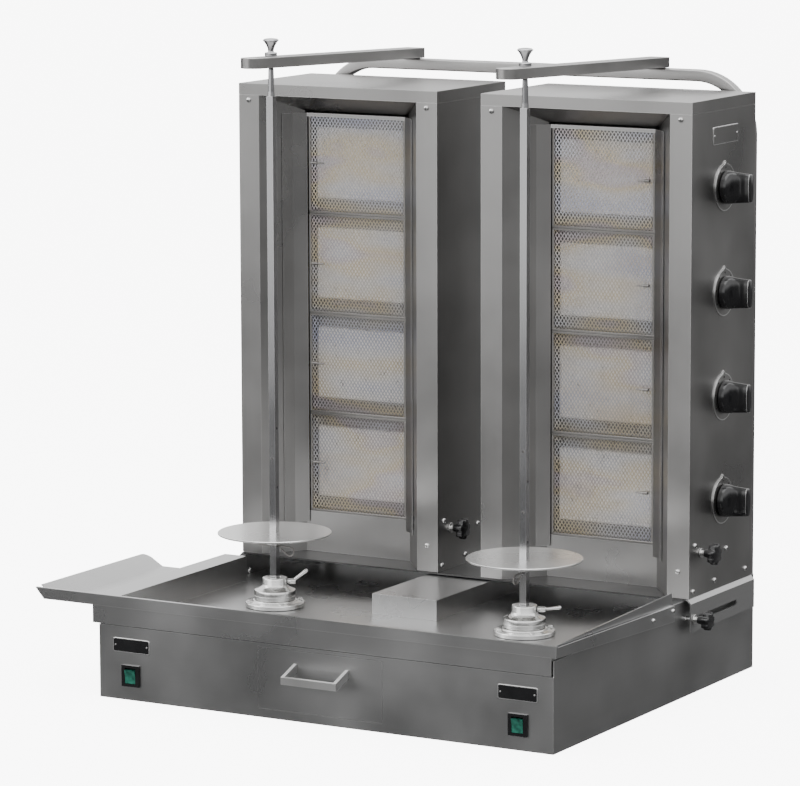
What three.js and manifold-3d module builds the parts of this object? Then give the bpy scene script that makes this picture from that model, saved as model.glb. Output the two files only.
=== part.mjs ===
// Twin vertical rotisserie broiler: two gas burner towers on a sliding carriage, two motor driven
// spits, a drip tray with a side wing and a drawer, all on one sheet steel cabinet.
// Millimetres. X to the right, Y to the back, Z up. Origin: middle of the cabinet's underside.

import * as THREE from 'three';
import { mergeVertices } from 'three/addons/utils/BufferGeometryUtils.js';
import Module from 'manifold-3d';

const wasm = await Module();
wasm.setup();

// ---- driving dimensions -------------------------------------------------------------------------

const SHEET = 2;               // folded sheet steel
const GAP = 0.3;               // clearance between touching pieces

const CABINET_HALF = 430;      // half of the cabinet's width
const CABINET_FRONT = -370;
const CABINET_BACK = 370;
const FRONT_HEIGHT = 125;      // front panel
const SIDE_HEIGHT = 151;       // side walls beside the tray
const RAIL_HEIGHT = 164.5;     // side walls where the carriage slides
const BACK_PANEL = 354.7;      // front face of the inset back panel

const DECK_TOP = 128;          // drip tray floor
const LIP_TOP = 176;           // front lip of the tray
const LIP_BOTTOM = 157;
const LIP_PROUD = 4;           // how far the lip stands out in front of the cabinet
const TRAY_SIDE_END = 48;      // the tray's side walls stop here, in front of the towers
const WING_TIP = -556;

const SPIT_X = 241;
const SPIT_Y = -114;
const ROD = 12;                // square spit rod
const ROD_TOP = 1045;
const DISC_RADIUS = 97;
const DISC_Z = 253.5;
const HOLE_PITCH = 50.5;       // cross holes of the rod
const FIRST_HOLE = 232.5;

const TOWER_X = 240.25;        // middle of a tower
const TOWER_HALF = 197.75;
const TOWER_FRONT = 99;
const TOWER_BACK = 343.5;
const TOWER_BOTTOM = 168;
const HOOD_BOTTOM = 978;
const HOOD_TOP = 998;
const MOUTH_HALF = 157.75;     // half of the opening between the front strips
const WING_HALF = 105;         // half of the opening between the back edges of the flared wings
const WING_BACK = 167;
const BURNER_PLANE = 166;      // front of the burner screens
const BURNER_HALF = 97.4;
const BURNER_FIRST = 240.5;    // underside of the lowest burner
const BURNER_PITCH = 176.4;
const BURNER_COUNT = 4;

const GAS_KNOB_Y = 225;
const GAS_KNOB_FIRST = 316.5;
const GAS_KNOB_PITCH = 177;
const TOWER_CLAMP_Y = 143;
const TOWER_CLAMP_Z = 239.5;

const CARRIAGE_HALF = 444;
const CARRIAGE_FRONT = 96;
const SLOT_FRONT = 101;
const SLOT_BACK = 273;
const CLAMP_Y = 107;
const CLAMP_Z = 132.8;

const ARM_WIDTH = 36;
const ARM_HEIGHT = 18;
const ARM_FRONT = -176;        // centre of the arm's round end
const ARM_BACK = 377;
const ARM_RISE = 0.0326;       // the arms climb towards the front
const FRAME_TUBE = 20;
const FRAME_FRONT = 357;
const FRAME_HALF = 427;
const FRAME_TOP = 1030;
const FRAME_BEND = 108;        // outer radius of the bends

const SWITCH_X = 367;
const SWITCH_Z = 42;
const DRAWER_HALF = 117.4;
const DRAWER_BOTTOM = 15.6;
const DRAWER_TOP = 118.4;

const SIDES = [['left', -1], ['right', 1]];

// ---- materials ----------------------------------------------------------------------------------

function finish(color, roughness, metalness) {
  return new THREE.MeshStandardMaterial({ color, roughness, metalness });
}

const BRUSHED = finish(0x8a8a8a, 0.35, 1);
const TRAY_STEEL = finish(0x7c7c7c, 0.3, 1);
const TURNED = finish(0xc4c4c2, 0.28, 1);
const CHROME = finish(0xb8b8bc, 0.12, 1);
const BLACK = finish(0x121212, 0.3, 0);
const CERAMIC = finish(0xd8d2c8, 0.85, 0);
const GREEN = finish(0x1c4b3a, 0.3, 0);
const BRASS = finish(0xb08d4a, 0.4, 1);
const GREY_PAINT = finish(0x4a4d50, 0.55, 0.3);

// ---- shaping helpers ----------------------------------------------------------------------------

function box(x0, x1, y0, y1, z0, z1) {
  const geometry = new THREE.BoxGeometry(Math.abs(x1 - x0), y1 - y0, z1 - z0);
  return geometry.translate((x0 + x1) / 2, (y0 + y1) / 2, (z0 + z1) / 2);
}

// A cylinder about an axis through the given middle point.
function cylinder(radius, length, axis, x, y, z, segments = 16) {
  const geometry = new THREE.CylinderGeometry(radius, radius, length, segments);
  if (axis === 'x') geometry.rotateZ(Math.PI / 2);
  if (axis === 'z') geometry.rotateX(Math.PI / 2);
  return geometry.translate(x, y, z);
}

function extrude(shape, depth) {
  return new THREE.ExtrudeGeometry(shape, { depth, bevelEnabled: false, curveSegments: 8 });
}

function polygon(points) {
  return new THREE.Shape(points.map(([a, b]) => new THREE.Vector2(a, b)));
}

// Outline in X and Z, extruded along Y.
function prismAlongY(points, y0, y1) {
  return extrude(polygon(points), y1 - y0).rotateX(Math.PI / 2).translate(0, y1, 0);
}

// Outline in Y and Z, extruded along X.
function prismAlongX(points, x0, x1) {
  const low = Math.min(x0, x1);
  const turn = new THREE.Matrix4().makeBasis(
    new THREE.Vector3(0, 1, 0), new THREE.Vector3(0, 0, 1), new THREE.Vector3(1, 0, 0));
  return extrude(polygon(points), Math.abs(x1 - x0)).applyMatrix4(turn).translate(low, 0, 0);
}

// Outline in X and Y, extruded upwards.
function prismAlongZ(points, z0, z1) {
  return extrude(polygon(points), z1 - z0).translate(0, 0, z0);
}

// Closed outline of a folded sheet whose middle line is the given polyline.
function foldedSheet(line, thickness) {
  const points = line.map(([a, b]) => new THREE.Vector2(a, b));
  const offset = (index, side) => {
    const here = points[index];
    const before = points[Math.max(index - 1, 0)];
    const after = points[Math.min(index + 1, points.length - 1)];
    const into = (index === 0 ? after.clone().sub(here) : here.clone().sub(before)).normalize();
    const last = index === points.length - 1;
    const out = (last ? here.clone().sub(before) : after.clone().sub(here)).normalize();
    const normal = new THREE.Vector2(-into.y - out.y, into.x + out.x).normalize();
    const stretch = 1 / Math.abs(normal.x * -into.y + normal.y * into.x);
    const moved = here.clone().addScaledVector(normal, side * stretch * thickness / 2);
    return [moved.x, moved.y];
  };
  const outer = points.map((_, index) => offset(index, 1));
  const inner = points.map((_, index) => offset(index, -1));
  return outer.concat(inner.reverse());
}

// Solid of revolution about Z; the profile is [radius, z] and starts and ends on the axis.
function turned(profile, x, y, segments = 24) {
  const points = profile.map(([radius, z]) => new THREE.Vector2(radius, z));
  return new THREE.LatheGeometry(points, segments).rotateX(Math.PI / 2).translate(x, y, 0);
}

// The same, about X, growing towards +X from the given point.
function turnedAlongX(profile, x, y, z, segments = 18) {
  const points = profile.map(([radius, along]) => new THREE.Vector2(radius, along));
  return new THREE.LatheGeometry(points, segments).rotateZ(-Math.PI / 2).translate(x, y, z);
}

// ---- boolean helpers ----------------------------------------------------------------------------

function solid(geometry) {
  const plain = geometry.clone();
  plain.deleteAttribute('normal');
  plain.deleteAttribute('uv');
  const merged = mergeVertices(plain, 1e-4);
  return new wasm.Manifold(new wasm.Mesh({
    numProp: 3,
    vertProperties: new Float32Array(merged.attributes.position.array),
    triVerts: new Uint32Array(merged.index.array),
  }));
}

function geometryOf(body) {
  const result = body.getMesh();
  const geometry = new THREE.BufferGeometry();
  geometry.setAttribute('position', new THREE.BufferAttribute(result.vertProperties, 3));
  geometry.setIndex(new THREE.BufferAttribute(result.triVerts, 1));
  geometry.computeVertexNormals();
  return geometry;
}

function build(parts, cuts = []) {
  const whole = parts.map(solid).reduce((sum, part) => sum.add(part));
  return geometryOf(cuts.map(solid).reduce((rest, cut) => rest.subtract(cut), whole));
}

function common(first, second) {
  return geometryOf(solid(first).intersect(solid(second)));
}

const broiler = new THREE.Group();
broiler.name = 'twin_broiler';

function place(name, geometry, material) {
  const mesh = new THREE.Mesh(geometry, material);
  mesh.name = name;
  broiler.add(mesh);
}

// ---- cabinet ------------------------------------------------------------------------------------

function cabinetSide(side) {
  const behindTray = CABINET_FRONT + SHEET + GAP;
  const outline = [
    [CABINET_FRONT, 0], [CABINET_BACK, 0], [CABINET_BACK, RAIL_HEIGHT],
    [TRAY_SIDE_END + GAP, RAIL_HEIGHT], [TRAY_SIDE_END + GAP, SIDE_HEIGHT],
    [behindTray, SIDE_HEIGHT], [behindTray, FRONT_HEIGHT], [CABINET_FRONT, FRONT_HEIGHT],
  ];
  return prismAlongX(outline, side * CABINET_HALF, side * (CABINET_HALF - SHEET));
}

// A shelf and a side wall that carry one side of the drawer.
function drawerRunner(side) {
  const inner = side * (DRAWER_HALF - 12);
  const wall = side * (DRAWER_HALF + 2.1);
  const outer = side * (DRAWER_HALF + 3.6);
  const back = -10;
  return [
    box(inner, outer, CABINET_FRONT + 1, back, DRAWER_BOTTOM - 3.1, DRAWER_BOTTOM - 1.1),
    box(wall, outer, CABINET_FRONT + 1, back, DRAWER_BOTTOM - 3.1, 60),
  ];
}

function cabinet() {
  const inside = CABINET_HALF - 1;
  const front = box(-inside, inside, CABINET_FRONT, CABINET_FRONT + SHEET, 0, FRONT_HEIGHT);
  const back = box(-inside, inside, BACK_PANEL, BACK_PANEL + SHEET, 0, RAIL_HEIGHT);
  const walls = SIDES.map(([, side]) => cabinetSide(side));
  const runners = SIDES.flatMap(([, side]) => drawerRunner(side));
  const opening = DRAWER_HALF + 0.6;
  const cuts = [
    box(-opening, opening, CABINET_FRONT - 1, CABINET_FRONT + SHEET, DRAWER_BOTTOM - 0.6, DRAWER_TOP + 0.6),
  ];
  for (const [, side] of SIDES) {
    const x = side * SWITCH_X;
    cuts.push(box(x - 14, x + 14, CABINET_FRONT - 1, CABINET_FRONT + 3, SWITCH_Z - 15, SWITCH_Z + 15));
    cuts.push(cylinder(4.6, 8, 'x', side * CABINET_HALF, CLAMP_Y, CLAMP_Z));
  }
  return build([front, back, ...walls, ...runners], cuts);
}

function bottomPlate() {
  const half = CABINET_HALF - SHEET - GAP;
  return box(-half, half, CABINET_FRONT + SHEET + GAP, BACK_PANEL - GAP, 0, SHEET);
}

// ---- drip tray ----------------------------------------------------------------------------------

// The wing's raised outer edge, with its back corner rounded.
function wingFlange(crease, floor, back) {
  const width = 41;
  const corner = 16;
  const shape = new THREE.Shape();
  shape.moveTo(CABINET_FRONT, 0);
  shape.lineTo(back, 0);
  shape.lineTo(back, width - corner);
  shape.absarc(back - corner, width - corner, corner, 0, Math.PI / 2, false);
  shape.lineTo(CABINET_FRONT, width);
  const slope = THREE.MathUtils.degToRad(31);
  const along = new THREE.Vector3(0, 1, 0);
  const up = new THREE.Vector3(-Math.cos(slope), 0, Math.sin(slope));
  const out = new THREE.Vector3().crossVectors(along, up);
  const turn = new THREE.Matrix4().makeBasis(along, up, out);
  return extrude(shape, SHEET).applyMatrix4(turn).translate(crease, 0, floor - SHEET);
}

function dripTray() {
  const floorHalf = CABINET_HALF - SHEET - GAP;
  const floorLow = DECK_TOP - SHEET;
  const leftWall = -400;
  const leftOuter = -442;
  const ledge = 171;
  const wingFloor = 160;
  const wingCrease = -512;
  const wingBack = -48;
  const leftFold = foldedSheet(
    [[leftWall, floorLow], [leftWall, ledge], [leftOuter, ledge], [leftOuter, floorLow + 1]], SHEET);
  const rightFold = foldedSheet(
    [[425, floorLow], [425, 165], [436, 165], [436, 160]], SHEET);
  const band = [
    [CABINET_FRONT - LIP_PROUD, LIP_BOTTOM], [TRAY_SIDE_END, 139],
    [TRAY_SIDE_END, 166], [CABINET_FRONT - LIP_PROUD, LIP_TOP - 2],
  ];
  const guard = [
    [CABINET_FRONT, 164], [TRAY_SIDE_END, 164], [TRAY_SIDE_END, 187], [CABINET_FRONT, LIP_TOP],
  ];
  const lip = [[-539, LIP_BOTTOM], [437, LIP_BOTTOM], [437, LIP_TOP], [WING_TIP, LIP_TOP]];
  const parts = [
    box(leftWall - 1, 426, CABINET_FRONT, TRAY_SIDE_END, floorLow, DECK_TOP),
    box(-floorHalf, floorHalf, TRAY_SIDE_END, 340, floorLow, DECK_TOP),
    box(leftWall - 3, 424, TRAY_SIDE_END - 3, TRAY_SIDE_END + 3, floorLow, DECK_TOP),
    box(leftOuter - 1, 426, CABINET_FRONT, CABINET_FRONT + SHEET, floorLow, LIP_TOP),
    prismAlongY(leftFold, CABINET_FRONT, TRAY_SIDE_END),
    prismAlongY(rightFold, CABINET_FRONT, TRAY_SIDE_END),
    prismAlongX(band, 435, 437),
    prismAlongX(guard, 430, 432),
    prismAlongY(lip, CABINET_FRONT - LIP_PROUD, CABINET_FRONT + SHEET),
    box(wingCrease - 1, leftOuter, CABINET_FRONT, wingBack, wingFloor - SHEET, wingFloor),
    wingFlange(wingCrease, wingFloor, wingBack),
  ];
  const cuts = SIDES.map(([, side]) => cylinder(17, 10, 'z', side * SPIT_X, SPIT_Y, DECK_TOP, 24));
  return build(parts, cuts);
}

function centerDivider() {
  const half = 62;
  const front = -92;
  const back = 338;
  const top = 163;
  const low = DECK_TOP + GAP;
  const cover = box(-half, half, front, back, low, top);
  const inside = box(-half + SHEET, half - SHEET, front + SHEET, back - SHEET, low - 1, top - SHEET);
  return build([cover], [inside]);
}

// ---- drawer -------------------------------------------------------------------------------------

function drawerBox() {
  const half = DRAWER_HALF - 1.4;
  const front = CABINET_FRONT + SHEET + GAP;
  const back = -16;
  const low = DRAWER_BOTTOM - 0.6;
  const top = 100;
  const outer = box(-half, half, front, back, low, top);
  const inner = box(-half + SHEET, half - SHEET, front + SHEET, back - SHEET, low + SHEET, top + 1);
  return build([outer], [inner]);
}

function drawerFront() {
  return box(-DRAWER_HALF, DRAWER_HALF, CABINET_FRONT, CABINET_FRONT + SHEET, DRAWER_BOTTOM, DRAWER_TOP);
}

// A flat grip bar on two legs that climb back to the panel.
function drawerHandle() {
  const middle = 3;
  const half = 52;
  const gripZ = 76;
  const footZ = 90;
  const panel = CABINET_FRONT - GAP;
  const leg = [
    [-412, gripZ - 5], [-404, gripZ - 5], [panel, footZ - 7], [panel, footZ + 7], [-412, gripZ + 6],
  ];
  return build([
    box(middle - half, middle + half, -412, -404, gripZ - 6, gripZ + 6),
    prismAlongX(leg, middle - half, middle - half + 6),
    prismAlongX(leg, middle + half - 6, middle + half),
  ]);
}

// ---- rocker switches ----------------------------------------------------------------------------

function switchHousing(x) {
  const bezel = box(x - 17, x + 17, CABINET_FRONT - 4, CABINET_FRONT - GAP, SWITCH_Z - 18, SWITCH_Z + 18);
  const body = box(x - 13.5, x + 13.5,
    CABINET_FRONT - 1, CABINET_FRONT + 24, SWITCH_Z - 14.5, SWITCH_Z + 14.5);
  const well = box(x - 10.5, x + 10.5,
    CABINET_FRONT - 5, CABINET_FRONT + 18, SWITCH_Z - 13.4, SWITCH_Z + 13.4);
  return build([bezel, body], [well]);
}

// Tilted about its pin, with its two faces meeting in a shallow V.
function switchRocker(x) {
  const pivotY = CABINET_FRONT + 4;
  const tilt = THREE.MathUtils.degToRad(8);
  const outline = [[-9.5, -11.5], [-8, 0], [-9.5, 11.5], [6, 9], [8, 0], [6, -9]];
  const turnedOutline = outline.map(([y, z]) => [
    pivotY + y * Math.cos(tilt) - z * Math.sin(tilt),
    SWITCH_Z + y * Math.sin(tilt) + z * Math.cos(tilt),
  ]);
  return prismAlongX(turnedOutline, x - 10, x + 10);
}

// ---- spit drives --------------------------------------------------------------------------------

function spitMotor(x) {
  return build([
    box(x - 46, x + 46, SPIT_Y - 46, SPIT_Y + 46, 66, DECK_TOP - SHEET - GAP),
    cylinder(33, 54, 'z', x, SPIT_Y, 40, 28),
  ], [cylinder(15.2, 14, 'z', x, SPIT_Y, 126, 24)]);
}

// Bolted to the tray floor; the hub turns in it.
function bearingFlange(x) {
  const low = DECK_TOP + GAP;
  return build([
    turned([[0, low], [51, low], [51, low + 8], [39, low + 9.5], [38, 140.5], [0, 140.5]], x, SPIT_Y, 24),
  ], [cylinder(15.2, 30, 'z', x, SPIT_Y, 134, 24)]);
}

function rotatingHub(x) {
  const profile = [
    [0, 121], [14, 121], [14, 141], [35.5, 141], [35.5, 155.5], [33.5, 157.5],
    [25, 161], [21.5, 167], [21.5, 176], [20, 178], [0, 178],
  ];
  const socket = (ROD + 0.9) / 2;
  return build([turned(profile, x, SPIT_Y, 24)],
    [box(x - socket, x + socket, SPIT_Y - socket, SPIT_Y + socket, 135, 179)]);
}

// Clamp screw in the hub's neck, with a slim handle at an angle to it.
function hubLever(x, heading, roll) {
  const boss = turnedAlongX([[0, 0], [4.6, 0], [5, 10], [4.2, 14], [0, 14]], 22.4, 0, 0, 12);
  const handle = new THREE.CylinderGeometry(3.4, 2.2, 36, 10);
  handle.translate(0, 16, 0).rotateZ(-THREE.MathUtils.degToRad(52)).translate(30, 0, 0);
  const lever = build([boss, handle]);
  return lever.rotateX(roll).rotateZ(heading).translate(x, SPIT_Y, 171.6);
}

function spitRod(x, side) {
  const half = ROD / 2;
  const shoulder = 998;
  const body = box(x - half, x + half, SPIT_Y - half, SPIT_Y + half, 135.4, shoulder);
  const neck = turned([
    [0, shoulder - 1], [half, shoulder - 1], [half, shoulder], [5.6, shoulder + 8],
    [4.7, ROD_TOP - 2], [4.2, ROD_TOP], [0, ROD_TOP],
  ], x, SPIT_Y, 16);
  const cuts = [cylinder(3.1, 24, 'z', x, SPIT_Y, ROD_TOP, 12)];
  for (let index = 0; index < 5; index += 1) {
    const z = FIRST_HOLE + index * HOLE_PITCH;
    const acrossX = (index + (side > 0 ? 1 : 0)) % 2 === 0;
    cuts.push(cylinder(2.4, 40, acrossX ? 'x' : 'y', x, SPIT_Y, z, 12));
  }
  return build([body, neck], cuts);
}

function meatDisc(x) {
  const plate = cylinder(DISC_RADIUS, 3, 'z', x, SPIT_Y, DISC_Z + 1.5, 48);
  const sleeve = box(x - 9, x + 9, SPIT_Y - 9, SPIT_Y + 9, FIRST_HOLE + 2, DISC_Z + 1);
  const hole = (ROD + 0.9) / 2;
  return build([plate, sleeve],
    [box(x - hole, x + hole, SPIT_Y - hole, SPIT_Y + hole, FIRST_HOLE, DISC_Z + 9)]);
}

// Clip: a straight leg through the rod, with a ring that hangs below it. The left one lies along X
// and the right one along Y, its ring towards the front.
function hairpinClip(x, side) {
  const path = new THREE.CurvePath();
  const point = (along, down) => new THREE.Vector3(along, -down, 0);
  path.add(new THREE.LineCurve3(point(-54, 0), point(14, 0)));
  path.add(new THREE.CubicBezierCurve3(point(14, 0), point(28, 0), point(38, -1), point(38, 7.5)));
  path.add(new THREE.CubicBezierCurve3(
    point(38, 7.5), point(38, 15), point(29, 17), point(23, 12.5)));
  path.add(new THREE.CubicBezierCurve3(
    point(23, 12.5), point(19, 9.5), point(16, 7), point(12.5, 4.6)));
  const section = new THREE.Shape();
  section.absarc(0, 0, 1.5, 0, Math.PI * 2, false);
  const wire = new THREE.ExtrudeGeometry(section, { steps: 30, curveSegments: 3, extrudePath: path });
  wire.rotateX(Math.PI / 2);
  if (side > 0) {
    wire.rotateZ(-Math.PI / 2);
  }
  return wire.translate(x, SPIT_Y, FIRST_HOLE);
}

// ---- spit top support ---------------------------------------------------------------------------

function armUnderside(y) {
  return FRAME_TOP + GAP + 0.3 + (ARM_BACK - y) * ARM_RISE;
}

function topPin(x) {
  const collar = armUnderside(SPIT_Y) + ARM_HEIGHT + 0.8;
  return turned([
    [0, ROD_TOP - 9], [2.5, ROD_TOP - 8], [2.5, ROD_TOP + 1], [4.5, ROD_TOP + 3], [4.5, collar],
    [10.4, collar], [10.4, collar + 6], [4.8, collar + 7], [4.8, collar + 9],
    [13.6, collar + 26], [12, collar + 28], [0, collar + 30],
  ], x, SPIT_Y, 16);
}

function supportArm(x) {
  const half = ARM_WIDTH / 2;
  const shape = new THREE.Shape();
  shape.moveTo(-half, ARM_BACK);
  shape.lineTo(-half, ARM_FRONT);
  shape.absarc(0, ARM_FRONT, half, Math.PI, Math.PI * 2, false);
  shape.lineTo(half, ARM_BACK);
  const bar = extrude(shape, ARM_HEIGHT);
  const shear = new THREE.Matrix4().set(
    1, 0, 0, x, 0, 1, 0, 0, 0, -ARM_RISE, 1, armUnderside(0), 0, 0, 0, 1);
  bar.applyMatrix4(shear);
  return build([bar], [cylinder(5.3, 60, 'z', x, SPIT_Y, FRAME_TOP + 30)]);
}

// One bent square tube: up from the cabinet, across behind the towers, and down again.
function rearFrame() {
  const inner = FRAME_BEND - FRAME_TUBE;
  const foot = 6;
  const edge = 2.5;
  const bendX = FRAME_HALF - FRAME_BEND;
  const bendZ = FRAME_TOP - FRAME_BEND;
  const shape = new THREE.Shape();
  shape.moveTo(-FRAME_HALF, foot);
  shape.lineTo(-FRAME_HALF + FRAME_TUBE, foot);
  shape.lineTo(-FRAME_HALF + FRAME_TUBE, bendZ);
  shape.absarc(-bendX, bendZ, inner, Math.PI, Math.PI / 2, true);
  shape.absarc(bendX, bendZ, inner, Math.PI / 2, 0, true);
  shape.lineTo(FRAME_HALF - FRAME_TUBE, foot);
  shape.lineTo(FRAME_HALF, foot);
  shape.absarc(bendX, bendZ, FRAME_BEND, 0, Math.PI / 2, false);
  shape.absarc(-bendX, bendZ, FRAME_BEND, Math.PI / 2, Math.PI, false);
  const tube = new THREE.ExtrudeGeometry(shape, {
    depth: FRAME_TUBE - 2 * edge, bevelThickness: edge, bevelSize: edge, bevelOffset: -edge,
    bevelSegments: 1, curveSegments: 8,
  });
  return tube.rotateX(Math.PI / 2).translate(0, FRAME_FRONT + FRAME_TUBE - edge, 0);
}

// ---- carriage and clamps ------------------------------------------------------------------------

function carriage() {
  const thick = 2.5;
  const skirt = CARRIAGE_HALF - thick / 2;
  const deck = 166.35;
  const line = [
    [-skirt, 112], [-skirt, 160], [-skirt + 6, deck],
    [skirt - 6, deck], [skirt, 160], [skirt, 112],
  ];
  const cuts = SIDES.map(([, side]) => box(
    side * skirt - 4, side * skirt + 4, SLOT_FRONT, SLOT_BACK, CLAMP_Z - 4.5, CLAMP_Z + 4.5));
  return build([prismAlongY(foldedSheet(line, thick), CARRIAGE_FRONT, TOWER_BACK)], cuts);
}

// A screw with a washer face and a lobed plastic head; it grows towards +X.
function clampKnob(headRadius, screwBack, washer) {
  const lobes = 7;
  const points = [];
  for (let index = 0; index < lobes * 4; index += 1) {
    const angle = index / (lobes * 4) * Math.PI * 2;
    const radius = headRadius - 1.6 + 1.6 * Math.cos(angle * lobes);
    points.push([radius * Math.cos(angle), radius * Math.sin(angle)]);
  }
  const head = prismAlongX(points, washer + 18, washer + 31);
  const stem = turnedAlongX([
    [0, -screwBack], [4, -screwBack], [4, washer], [8.5, washer], [8.5, washer + 2], [6, washer + 2.5],
    [6, washer + 6], [8, washer + 7], [9.5, washer + 19], [0, washer + 19],
  ], 0, 0, 0, 12);
  return build([head, stem]);
}

function baseClamp(side) {
  const knob = clampKnob(16, 6, CARRIAGE_HALF - CABINET_HALF + 0.4);
  if (side < 0) knob.rotateZ(Math.PI);
  return knob.translate(side * CABINET_HALF, CLAMP_Y, CLAMP_Z);
}

function towerClamp(side) {
  return clampKnob(18.5, 16, 0.4).translate(side * TOWER_X + TOWER_HALF, TOWER_CLAMP_Y, TOWER_CLAMP_Z);
}

// ---- burner towers ------------------------------------------------------------------------------

function knobHeights() {
  return Array.from({ length: BURNER_COUNT }, (_, index) => GAS_KNOB_FIRST + index * GAS_KNOB_PITCH);
}

// Outer walls, front strips, flared inner wings and the panel under the burners.
function towerCasing(side) {
  const x = side * TOWER_X;
  const wall = TOWER_HALF - SHEET / 2;
  const front = TOWER_FRONT + SHEET / 2;
  const back = TOWER_BACK - SHEET / 2;
  const line = [
    [-WING_HALF, WING_BACK], [-MOUTH_HALF, front], [-wall, front], [-wall, back],
    [wall, back], [wall, front], [MOUTH_HALF, front], [WING_HALF, WING_BACK],
  ].map(([along, y]) => [x + along, y]);
  const top = HOOD_BOTTOM - GAP;
  const shell = prismAlongZ(foldedSheet(line, SHEET), TOWER_BOTTOM, top);
  const panel = box(x - WING_HALF - 1, x + WING_HALF + 1,
    WING_BACK - 1, WING_BACK + 1, TOWER_BOTTOM, BURNER_FIRST - GAP);
  const outer = x + side * wall;
  const cuts = knobHeights().map((z) => cylinder(5.5, 8, 'x', outer, GAS_KNOB_Y, z, 16));
  cuts.push(cylinder(4.8, 8, 'x', x + wall, TOWER_CLAMP_Y, TOWER_CLAMP_Z, 16));
  cuts.push(cylinder(10, 8, 'y', side * 330, back, 215));
  return build([shell, panel], cuts);
}

// Top cover with a turned down rim and a sloping deflector behind its front rim.
function towerHood(side) {
  const x = side * TOWER_X;
  const cover = box(x - TOWER_HALF, x + TOWER_HALF, TOWER_FRONT, TOWER_BACK, HOOD_BOTTOM, HOOD_TOP);
  const inside = box(x - TOWER_HALF + SHEET, x + TOWER_HALF - SHEET,
    TOWER_FRONT + SHEET, TOWER_BACK - SHEET, HOOD_BOTTOM - 1, HOOD_TOP - SHEET);
  const slope = [
    [TOWER_FRONT + 1, HOOD_BOTTOM + 3], [TOWER_FRONT + 1, HOOD_BOTTOM + 0.6],
    [165, 949], [167, 949], [167, 951.4],
  ];
  const betweenWings = [
    [x - MOUTH_HALF + 2, TOWER_FRONT], [x + MOUTH_HALF - 2, TOWER_FRONT],
    [x + WING_HALF - 2, WING_BACK], [x - WING_HALF + 2, WING_BACK],
  ];
  const deflector = common(
    prismAlongX(slope, x - MOUTH_HALF, x + MOUTH_HALF), prismAlongZ(betweenWings, 940, HOOD_TOP));
  return build([build([cover], [inside]), deflector]);
}

// Bent strips beside the burners, joined over the top one.
function heatShield(side) {
  const x = side * TOWER_X;
  const low = 221;
  const high = 945;
  const half = (sign) => foldedSheet([[-130, 131], [-118, 147.5], [-98.5, 164.2]]
    .map(([along, y]) => [x + sign * -along, y]), 1.5);
  return build([
    prismAlongZ(half(1), low, high),
    prismAlongZ(half(-1), low, high),
    box(x - 99, x + 99, 163.4, 164.9, 939, high),
  ]);
}

// Burner body behind its screen, with the mixing chamber on its back.
function burner(side, index) {
  const x = side * TOWER_X;
  const low = BURNER_FIRST + index * BURNER_PITCH;
  const high = low + BURNER_PITCH - 0.4;
  const middle = (low + high) / 2;
  return build([
    box(x - BURNER_HALF, x + BURNER_HALF, BURNER_PLANE, BURNER_PLANE + 22, low, high),
    box(x - 36, x + 36, BURNER_PLANE + 21, BURNER_PLANE + 48, middle - 34, middle + 34),
  ]);
}

// Supply pipe with four valves, their feeds to the burners, and the inlet through the back.
function gasManifold(side) {
  const pipeX = side * 400;
  const pipeY = 252;
  const inletX = side * 330;
  const inletZ = 215;
  const top = 870;
  const parts = [
    cylinder(9, top - inletZ, 'z', pipeX, pipeY, (top + inletZ) / 2, 10),
    cylinder(8, 76, 'x', (pipeX + inletX) / 2, pipeY, inletZ, 10),
    cylinder(8, 96, 'y', inletX, pipeY + 46, inletZ, 12),
  ];
  const burnerSide = side * (TOWER_X + 37);
  for (const z of knobHeights()) {
    parts.push(box(side * 392, side * 422, GAS_KNOB_Y - 13, pipeY, z - 12, z + 12));
    const length = Math.abs(side * 394 - burnerSide);
    parts.push(cylinder(4, length, 'x', (side * 394 + burnerSide) / 2, GAS_KNOB_Y - 20, z, 8));
    parts.push(box(side * 392, side * 400, GAS_KNOB_Y - 24, GAS_KNOB_Y, z - 6, z + 6));
  }
  return build(parts);
}

// Tapered knob with two scooped flanks that leave a grip bar.
function gasKnob(side, z) {
  const grip = 8;
  const body = turnedAlongX([
    [0, -14], [3.5, -14], [3.5, 3], [28, 3], [27.5, 8], [23.5, 50], [0, 50],
  ], 0, 0, 0, 16);
  const scoops = [-1, 1].map((sign) => box(16, 60, ...(sign < 0 ? [-40, -grip] : [grip, 40]), -40, 40));
  const knob = build([body], scoops);
  if (side < 0) knob.rotateZ(Math.PI);
  return knob.translate(side * (TOWER_X + TOWER_HALF), GAS_KNOB_Y, z);
}

// ---- assembly -----------------------------------------------------------------------------------

place('base_cabinet', cabinet(), BRUSHED);
place('bottom_plate', bottomPlate(), BRUSHED);
place('drip_tray', dripTray(), TRAY_STEEL);
place('center_divider', centerDivider(), BRUSHED);
place('drawer_box', drawerBox(), BRUSHED);
place('drawer_front', drawerFront(), BRUSHED);
place('drawer_handle', drawerHandle(), TURNED);
place('rear_frame_tube', rearFrame(), TRAY_STEEL);
place('tower_carriage', carriage(), BRUSHED);

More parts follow.
